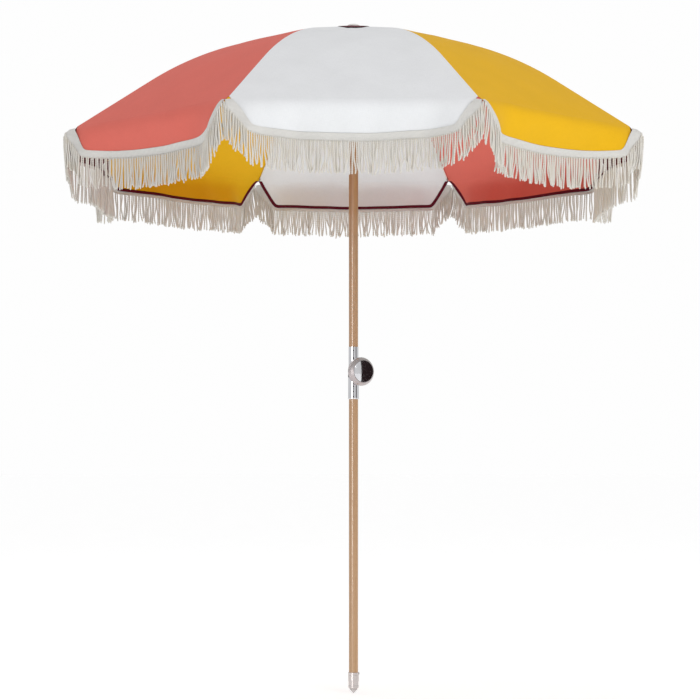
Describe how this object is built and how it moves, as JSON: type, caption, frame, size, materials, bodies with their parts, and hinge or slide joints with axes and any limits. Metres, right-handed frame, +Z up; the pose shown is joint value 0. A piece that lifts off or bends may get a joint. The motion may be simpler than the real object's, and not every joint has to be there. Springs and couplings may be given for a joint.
{
  "type": "beach umbrella",
  "caption": "Beach umbrella with a domed, fringed canopy in coloured gores, a two-piece wooden pole, a knobbed tilt joint and a pointed foot.",
  "frame": {"origin": "tip of the foot on the pole's axis", "axes": "+Z up along the pole; -Y faces the viewer, square to the front canopy panel"},
  "size_m": [1.6974, 1.6974, 2.17],
  "materials": {
    "varnished_wood": "satin varnish",
    "hub_wood": "satin varnish",
    "chrome": "polished",
    "satin_chrome": "satin",
    "pale_metal": "satin",
    "zinc_steel": "zinc plated",
    "enamelled_steel": "gloss enamel",
    "white_plastic": "satin",
    "canvas_white": "woven canvas",
    "canvas_mustard": "woven canvas",
    "canvas_burgundy": "woven canvas",
    "canvas_coral": "woven canvas",
    "fringe_cord": "twisted cotton"
  },
  "bodies": {
    "lower_pole": {"lower_pole": "varnished_wood", "foot_ferrule": "pale_metal", "foot_screw": "zinc_steel"},
    "joint_socket": {"lower_socket": "chrome", "tilt_bolt": "zinc_steel", "tilt_washer": "zinc_steel"},
    "knob": {"tilt_knob": "satin_chrome", "knob_medallion": "chrome"},
    "upper_pole": {"upper_pole": "varnished_wood", "upper_sleeve": "chrome", "sleeve_screws": "zinc_steel", "top_hub": "hub_wood", "hub_pins": "zinc_steel", "crown_collar": "white_plastic", "crown_patch": "canvas_burgundy", "finial_cap": "white_plastic"},
    "runner": {"runner": "white_plastic"},
    "runner_button": {"runner_button": "zinc_steel", "button_spring": "zinc_steel"},
    "rib_1": {"rib_1": "enamelled_steel", "rib_fittings_1": "zinc_steel", "canopy_panel_1": "canvas_white"},
    "stretcher_1": {"stretcher_1": "enamelled_steel"},
    "hem_1": {"fringe_1": "fringe_cord"},
    "rib_2": {"rib_2": "enamelled_steel", "rib_fittings_2": "zinc_steel", "canopy_panel_2": "canvas_mustard"},
    "stretcher_2": {"stretcher_2": "enamelled_steel"},
    "hem_2": {"fringe_2": "fringe_cord"},
    "rib_3": {"rib_3": "enamelled_steel", "rib_fittings_3": "zinc_steel", "canopy_panel_3": "canvas_burgundy"},
    "stretcher_3": {"stretcher_3": "enamelled_steel"},
    "hem_3": {"fringe_3": "fringe_cord"},
    "rib_4": {"rib_4": "enamelled_steel", "rib_fittings_4": "zinc_steel", "canopy_panel_4": "canvas_coral"},
    "stretcher_4": {"stretcher_4": "enamelled_steel"},
    "hem_4": {"fringe_4": "fringe_cord"},
    "rib_5": {"rib_5": "enamelled_steel", "rib_fittings_5": "zinc_steel", "canopy_panel_5": "canvas_white"},
    "stretcher_5": {"stretcher_5": "enamelled_steel"},
    "hem_5": {"fringe_5": "fringe_cord"},
    "rib_6": {"rib_6": "enamelled_steel", "rib_fittings_6": "zinc_steel", "canopy_panel_6": "canvas_mustard"},
    "stretcher_6": {"stretcher_6": "enamelled_steel"},
    "hem_6": {"fringe_6": "fringe_cord"},
    "rib_7": {"rib_7": "enamelled_steel", "rib_fittings_7": "zinc_steel", "canopy_panel_7": "canvas_burgundy"},
    "stretcher_7": {"stretcher_7": "enamelled_steel"},
    "hem_7": {"fringe_7": "fringe_cord"},
    "rib_8": {"rib_8": "enamelled_steel", "rib_fittings_8": "zinc_steel", "canopy_panel_8": "canvas_coral"},
    "stretcher_8": {"stretcher_8": "enamelled_steel"},
    "hem_8": {"fringe_8": "fringe_cord"}
  },
  "joints": [
    {"name": "pole_join", "type": "slide", "parent": "lower_pole", "child": "joint_socket", "axis": [0, 0, 1], "range_m": [0, 0.055]},
    {"name": "tilt", "type": "hinge", "parent": "joint_socket", "child": "upper_pole", "pos_m": [0, 0, 1.041], "axis": [0.4695, -0.8829, 0], "range_deg": [-40, 40]},
    {"name": "knob_turn", "type": "hinge", "parent": "joint_socket", "child": "knob", "pos_m": [0, 0, 1.041], "axis": [0.4695, -0.8829, 0], "range_deg": [0, 360]},
    {"name": "runner_slide", "type": "slide", "parent": "upper_pole", "child": "runner", "axis": [0, 0, -1], "range_m": [0, 0.6497]},
    {"name": "runner_button", "type": "slide", "parent": "runner", "child": "runner_button", "axis": [0, -1, 0], "range_m": [0, 0.003], "stiffness_N_per_m": 400, "springref_m": -0.002, "deforming": ["button_spring"]},
    {"name": "rib_fold_1", "type": "hinge", "parent": "upper_pole", "child": "rib_1", "pos_m": [-0.01148, -0.02772, 2.11431], "axis": [0.9239, -0.3827, 0], "range_deg": [0, 66], "deforming": ["canopy_panel_1"]},
    {"name": "stretcher_swing_1", "type": "hinge", "parent": "rib_1", "child": "stretcher_1", "pos_m": [-0.16455, -0.39727, 2.04902], "axis": [0.9239, -0.3827, 0], "range_deg": [-132, 0]},
    {"name": "hem_hang_1", "type": "hinge", "parent": "rib_1", "child": "hem_1", "pos_m": [-0.34977, -0.84443, 1.7792], "axis": [0.9239, -0.3827, 0], "range_deg": [-66, 0], "deforming": ["fringe_1"]},
    {"name": "rib_fold_2", "type": "hinge", "parent": "upper_pole", "child": "rib_2", "pos_m": [0.01148, -0.02772, 2.11431], "axis": [0.9239, 0.3827, 0], "range_deg": [0, 66], "deforming": ["canopy_panel_2"]},
    {"name": "stretcher_swing_2", "type": "hinge", "parent": "rib_2", "child": "stretcher_2", "pos_m": [0.16455, -0.39727, 2.04902], "axis": [0.9239, 0.3827, 0], "range_deg": [-132, 0]},
    {"name": "hem_hang_2", "type": "hinge", "parent": "rib_2", "child": "hem_2", "pos_m": [0.34977, -0.84443, 1.7792], "axis": [0.9239, 0.3827, 0], "range_deg": [-66, 0], "deforming": ["fringe_2"]},
    {"name": "rib_fold_3", "type": "hinge", "parent": "upper_pole", "child": "rib_3", "pos_m": [0.02772, -0.01148, 2.11431], "axis": [0.3827, 0.9239, 0], "range_deg": [0, 66], "deforming": ["canopy_panel_3"]},
    {"name": "stretcher_swing_3", "type": "hinge", "parent": "rib_3", "child": "stretcher_3", "pos_m": [0.39727, -0.16455, 2.04902], "axis": [0.3827, 0.9239, 0], "range_deg": [-132, 0]},
    {"name": "hem_hang_3", "type": "hinge", "parent": "rib_3", "child": "hem_3", "pos_m": [0.84443, -0.34977, 1.7792], "axis": [0.3827, 0.9239, 0], "range_deg": [-66, 0], "deforming": ["fringe_3"]},
    {"name": "rib_fold_4", "type": "hinge", "parent": "upper_pole", "child": "rib_4", "pos_m": [0.02772, 0.01148, 2.11431], "axis": [-0.3827, 0.9239, 0], "range_deg": [0, 66], "deforming": ["canopy_panel_4"]},
    {"name": "stretcher_swing_4", "type": "hinge", "parent": "rib_4", "child": "stretcher_4", "pos_m": [0.39727, 0.16455, 2.04902], "axis": [-0.3827, 0.9239, 0], "range_deg": [-132, 0]},
    {"name": "hem_hang_4", "type": "hinge", "parent": "rib_4", "child": "hem_4", "pos_m": [0.84443, 0.34977, 1.7792], "axis": [-0.3827, 0.9239, 0], "range_deg": [-66, 0], "deforming": ["fringe_4"]},
    {"name": "rib_fold_5", "type": "hinge", "parent": "upper_pole", "child": "rib_5", "pos_m": [0.01148, 0.02772, 2.11431], "axis": [-0.9239, 0.3827, 0], "range_deg": [0, 66], "deforming": ["canopy_panel_5"]},
    {"name": "stretcher_swing_5", "type": "hinge", "parent": "rib_5", "child": "stretcher_5", "pos_m": [0.16455, 0.39727, 2.04902], "axis": [-0.9239, 0.3827, 0], "range_deg": [-132, 0]},
    {"name": "hem_hang_5", "type": "hinge", "parent": "rib_5", "child": "hem_5", "pos_m": [0.34977, 0.84443, 1.7792], "axis": [-0.9239, 0.3827, 0], "range_deg": [-66, 0], "deforming": ["fringe_5"]},
    {"name": "rib_fold_6", "type": "hinge", "parent": "upper_pole", "child": "rib_6", "pos_m": [-0.01148, 0.02772, 2.11431], "axis": [-0.9239, -0.3827, 0], "range_deg": [0, 66], "deforming": ["canopy_panel_6"]},
    {"name": "stretcher_swing_6", "type": "hinge", "parent": "rib_6", "child": "stretcher_6", "pos_m": [-0.16455, 0.39727, 2.04902], "axis": [-0.9239, -0.3827, 0], "range_deg": [-132, 0]},
    {"name": "hem_hang_6", "type": "hinge", "parent": "rib_6", "child": "hem_6", "pos_m": [-0.34977, 0.84443, 1.7792], "axis": [-0.9239, -0.3827, 0], "range_deg": [-66, 0], "deforming": ["fringe_6"]},
    {"name": "rib_fold_7", "type": "hinge", "parent": "upper_pole", "child": "rib_7", "pos_m": [-0.02772, 0.01148, 2.11431], "axis": [-0.3827, -0.9239, 0], "range_deg": [0, 66], "deforming": ["canopy_panel_7"]},
    {"name": "stretcher_swing_7", "type": "hinge", "parent": "rib_7", "child": "stretcher_7", "pos_m": [-0.39727, 0.16455, 2.04902], "axis": [-0.3827, -0.9239, 0], "range_deg": [-132, 0]},
    {"name": "hem_hang_7", "type": "hinge", "parent": "rib_7", "child": "hem_7", "pos_m": [-0.84443, 0.34977, 1.7792], "axis": [-0.3827, -0.9239, 0], "range_deg": [-66, 0], "deforming": ["fringe_7"]},
    {"name": "rib_fold_8", "type": "hinge", "parent": "upper_pole", "child": "rib_8", "pos_m": [-0.02772, -0.01148, 2.11431], "axis": [0.3827, -0.9239, 0], "range_deg": [0, 66], "deforming": ["canopy_panel_8"]},
    {"name": "stretcher_swing_8", "type": "hinge", "parent": "rib_8", "child": "stretcher_8", "pos_m": [-0.39727, -0.16455, 2.04902], "axis": [0.3827, -0.9239, 0], "range_deg": [-132, 0]},
    {"name": "hem_hang_8", "type": "hinge", "parent": "rib_8", "child": "hem_8", "pos_m": [-0.84443, -0.34977, 1.7792], "axis": [0.3827, -0.9239, 0], "range_deg": [-66, 0], "deforming": ["fringe_8"]}
  ],
  "couplings": [
    {"joint": "rib_fold_1", "follows": "runner_slide", "rad_per_m": 1.7461},
    {"joint": "stretcher_swing_1", "follows": "runner_slide", "rad_per_m": -3.4923},
    {"joint": "hem_hang_1", "follows": "runner_slide", "rad_per_m": -1.7461},
    {"joint": "rib_fold_2", "follows": "runner_slide", "rad_per_m": 1.7461},
    {"joint": "stretcher_swing_2", "follows": "runner_slide", "rad_per_m": -3.4923},
    {"joint": "hem_hang_2", "follows": "runner_slide", "rad_per_m": -1.7461},
    {"joint": "rib_fold_3", "follows": "runner_slide", "rad_per_m": 1.7461},
    {"joint": "stretcher_swing_3", "follows": "runner_slide", "rad_per_m": -3.4923},
    {"joint": "hem_hang_3", "follows": "runner_slide", "rad_per_m": -1.7461},
    {"joint": "rib_fold_4", "follows": "runner_slide", "rad_per_m": 1.7461},
    {"joint": "stretcher_swing_4", "follows": "runner_slide", "rad_per_m": -3.4923},
    {"joint": "hem_hang_4", "follows": "runner_slide", "rad_per_m": -1.7461},
    {"joint": "rib_fold_5", "follows": "runner_slide", "rad_per_m": 1.7461},
    {"joint": "stretcher_swing_5", "follows": "runner_slide", "rad_per_m": -3.4923},
    {"joint": "hem_hang_5", "follows": "runner_slide", "rad_per_m": -1.7461},
    {"joint": "rib_fold_6", "follows": "runner_slide", "rad_per_m": 1.7461},
    {"joint": "stretcher_swing_6", "follows": "runner_slide", "rad_per_m": -3.4923},
    {"joint": "hem_hang_6", "follows": "runner_slide", "rad_per_m": -1.7461},
    {"joint": "rib_fold_7", "follows": "runner_slide", "rad_per_m": 1.7461},
    {"joint": "stretcher_swing_7", "follows": "runner_slide", "rad_per_m": -3.4923},
    {"joint": "hem_hang_7", "follows": "runner_slide", "rad_per_m": -1.7461},
    {"joint": "rib_fold_8", "follows": "runner_slide", "rad_per_m": 1.7461},
    {"joint": "stretcher_swing_8", "follows": "runner_slide", "rad_per_m": -3.4923},
    {"joint": "hem_hang_8", "follows": "runner_slide", "rad_per_m": -1.7461}
  ]
}
